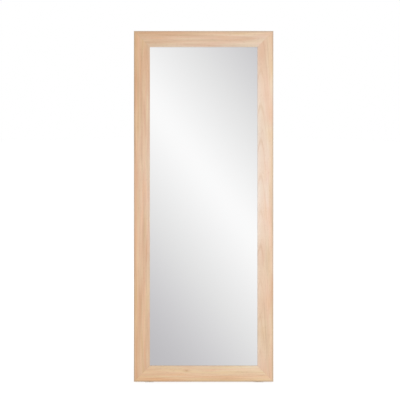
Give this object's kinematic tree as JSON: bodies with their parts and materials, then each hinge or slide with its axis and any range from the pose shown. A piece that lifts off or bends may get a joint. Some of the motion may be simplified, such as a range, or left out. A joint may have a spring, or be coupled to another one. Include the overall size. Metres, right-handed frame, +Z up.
{
  "type": "cheval floor mirror",
  "caption": "Full-length floor mirror in a flat, mitred pale oak frame, standing on a folding leg hinged behind it.",
  "frame": {"origin": "on the floor, at the middle of the mirror's width and of its open depth", "axes": "+Z up, +X to the right as one looks into the mirror, +Y away from the viewer"},
  "size_m": [0.66, 0.372, 1.644],
  "materials": {
    "oak_frame": "satin",
    "oak_leg": "satin",
    "beech": "matte",
    "silvered_glass": "polished",
    "foam": "matte",
    "hardboard": "matte",
    "zinc_plate": "satin",
    "zinc_screw": "satin",
    "black_steel": "satin",
    "nylon": "matte",
    "rubber": "matte",
    "clear_rubber": "satin"
  },
  "bodies": {
    "mirror": {"frame_stile_left": "oak_frame", "frame_stile_right": "oak_frame", "frame_rail_top": "oak_frame", "frame_rail_bottom": "oak_frame", "mitre_biscuits": "beech", "mirror_glass": "silvered_glass", "glass_cushion": "foam", "backing_board": "hardboard", "backing_screws": "zinc_screw", "corner_brace_top_left": "zinc_plate", "corner_brace_top_right": "zinc_plate", "corner_brace_bottom_left": "zinc_plate", "corner_brace_bottom_right": "zinc_plate", "corner_brace_screws": "zinc_screw", "hanger_plate_left": "zinc_plate", "hanger_plate_right": "zinc_plate", "hanger_plate_screws": "zinc_screw", "leg_bracket_left": "black_steel", "leg_bracket_right": "black_steel", "leg_bracket_screws": "zinc_screw", "pivot_bolt_left": "zinc_screw", "pivot_bolt_right": "zinc_screw", "pivot_nut_left": "zinc_screw", "pivot_nut_right": "zinc_screw", "pivot_washers": "nylon", "front_foot_left": "clear_rubber", "front_foot_right": "clear_rubber"},
    "easel_leg": {"leg_stile_left": "oak_leg", "leg_stile_right": "oak_leg", "leg_rail_top": "oak_leg", "leg_rail_bottom": "oak_leg", "leg_dowels": "beech", "leg_foot_left": "rubber", "leg_foot_right": "rubber", "pivot_bush_left": "nylon", "pivot_bush_right": "nylon"}
  },
  "joints": [
    {"name": "leg_fold", "type": "hinge", "parent": "mirror", "child": "easel_leg", "pos_m": [0, 0.0333, 1.16455], "axis": [-1, 0, 0], "range_deg": [0, 16]}
  ]
}
